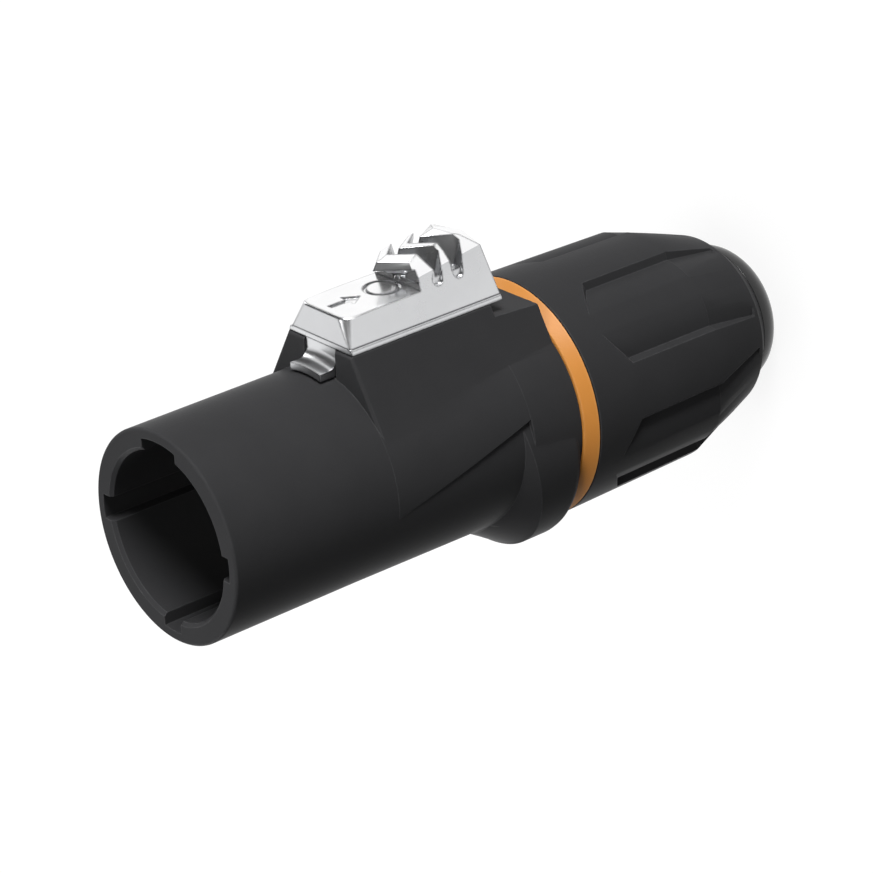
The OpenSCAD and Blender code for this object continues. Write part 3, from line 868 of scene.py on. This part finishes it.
class CONNECTOR_OT_stage(bpy.types.Operator):
    """Sets up the pale floor, the soft studio lamps and the camera"""

    bl_idname = "connector.stage"
    bl_label = "Stage"

    # The place and width of each lamp in metres, and its power in watts
    LAMPS = {
        "overhead": ((0.02, 0.01, 0.95), 0.7, 5.5),
        "window": ((0.17, 0.675, 0.19), 0.3, 5.9),
        "key": ((0.31, 0.10, 0.64), 0.3, 0.5),
        "rim": ((-0.66, 0.30, 0.12), 0.2, 0.8),
        "left": ((-0.56, -0.16, 0.46), 0.5, 0.4),
        "fill": ((-0.34, -0.62, 0.22), 0.4, 1.8),
    }

    # The camera's place in metres, its angles in degrees and its lens and sensor in millimetres
    CAMERA_PLACE, CAMERA_ANGLES = (0.24683, 0.14906, 0.24466), (-28.2012, 49.277, -3.9986)
    LENS, SENSOR = 144.77, 36

    def execute(self, context):
        self.floor()
        self.world(context.scene)
        for name, (place, width, power) in self.LAMPS.items():
            self.lamp(name, place, width, power)
        self.camera(context.scene)
        context.scene.view_settings.view_transform = "Standard"
        return {"FINISHED"}

    def floor(self):
        """A grey floor that shows white, so that it throws little light on the object."""
        rest()
        bpy.ops.mesh.primitive_circle_add(vertices=96, radius=2.0, fill_type="NGON", location=(0, 0, 0))
        floor = bpy.context.object
        floor.name = "floor"
        paper = bpy.data.materials.new("floor_paper")
        paper.use_nodes = True
        tree = paper.node_tree
        shader = tree.nodes["Principled BSDF"]
        for label, value in (("Base Color", (0.15, 0.15, 0.15, 1)), ("Roughness", 0.9),
                             ("Specular IOR Level", 0.1), ("Emission Color", (1, 1, 1, 1))):
            shader.inputs[label].default_value = value
        glow = add(tree, "Math", {0: seen_rays(tree)}, operation="MULTIPLY")
        glow.inputs[1].default_value = 0.88
        tree.links.new(glow.outputs[0], shader.inputs["Emission Strength"])
        floor.data.materials.append(paper)

    def world(self, scene):
        """Dim light, with a white horizon and one pale wall that only views and reflections show."""
        world = bpy.data.worlds.new("studio")
        world.use_nodes = True
        tree = world.node_tree
        way = add(tree, "SeparateXYZ", {"Vector": add(tree, "TexCoord").outputs["Generated"]})
        aside = add(tree, "Math", {0: way.outputs["Y"], 2: way.outputs["X"]}, operation="MULTIPLY_ADD")
        aside.inputs[1].default_value = 0.6
        wall = add(tree, "MapRange", {"Value": aside.outputs[0]}, from_min=-0.92, from_max=-0.76,
                   to_min=0.8, to_max=0.06)
        fade = add(tree, "MapRange", {"Value": way.outputs["Z"], "To Max": wall.outputs["Result"]},
                   from_min=0.05, from_max=0.22, to_min=1.0)
        level = add(tree, "Mix", {"Factor": seen_rays(tree), "B": fade.outputs["Result"]}, a=0.06)
        tree.links.new(level.outputs[0], tree.nodes["Background"].inputs["Strength"])
        tree.nodes["Background"].inputs["Color"].default_value = (1, 1, 1, 1)
        scene.world = world

    def lamp(self, name, place, width, power):
        """A round soft lamp, turned to the connector's middle."""
        rest()
        aim = Vector(place) - Vector((0, 0, 0.04))
        bpy.ops.object.light_add(type="AREA", location=place,
                                 rotation=aim.to_track_quat("Z", "Y").to_euler())
        lamp = bpy.context.object
        lamp.name = name
        lamp.data.shape, lamp.data.size, lamp.data.energy = "DISK", width, power

    def camera(self, scene):
        rest()
        angles = [math.radians(angle) for angle in self.CAMERA_ANGLES]
        bpy.ops.object.camera_add(location=self.CAMERA_PLACE, rotation=angles)
        camera = bpy.context.object
        camera.name = "camera"
        camera.data.lens, camera.data.sensor_width = self.LENS, self.SENSOR
        camera.data.clip_start, camera.data.clip_end = 0.01, 20
        scene.camera = camera


OPERATORS = [
    CONNECTOR_OT_finishes, CONNECTOR_OT_housing, CONNECTOR_OT_seal_ring, CONNECTOR_OT_latch,
    CONNECTOR_OT_back_nut, CONNECTOR_OT_grommet, CONNECTOR_OT_stage,
]


class CONNECTOR_PT_panel(bpy.types.Panel):
    """Lists the pieces of the connector"""

    bl_label = "Locking power connector"
    bl_idname = "CONNECTOR_PT_panel"
    bl_space_type = "VIEW_3D"
    bl_region_type = "UI"
    bl_category = "Connector"

    def draw(self, context):
        column = self.layout.column()
        for group in (context.scene.connector_sizes, context.scene.connector_colours):
            for name in group.__annotations__:
                column.prop(group, name)
        for operator in OPERATORS:
            column.operator(operator.bl_idname)


CLASSES = [ConnectorSizes, ConnectorColours, *OPERATORS, CONNECTOR_PT_panel]


def register():
    for item in CLASSES:
        bpy.utils.register_class(item)
    bpy.types.Scene.connector_sizes = PointerProperty(type=ConnectorSizes)
    bpy.types.Scene.connector_colours = PointerProperty(type=ConnectorColours)


def unregister():
    del bpy.types.Scene.connector_colours
    del bpy.types.Scene.connector_sizes
    for item in reversed(CLASSES):
        bpy.utils.unregister_class(item)


def main():
    register()
    for operator in OPERATORS:
        getattr(bpy.ops.connector, operator.bl_idname.removeprefix("connector."))()


if __name__ == "__main__":
    main()
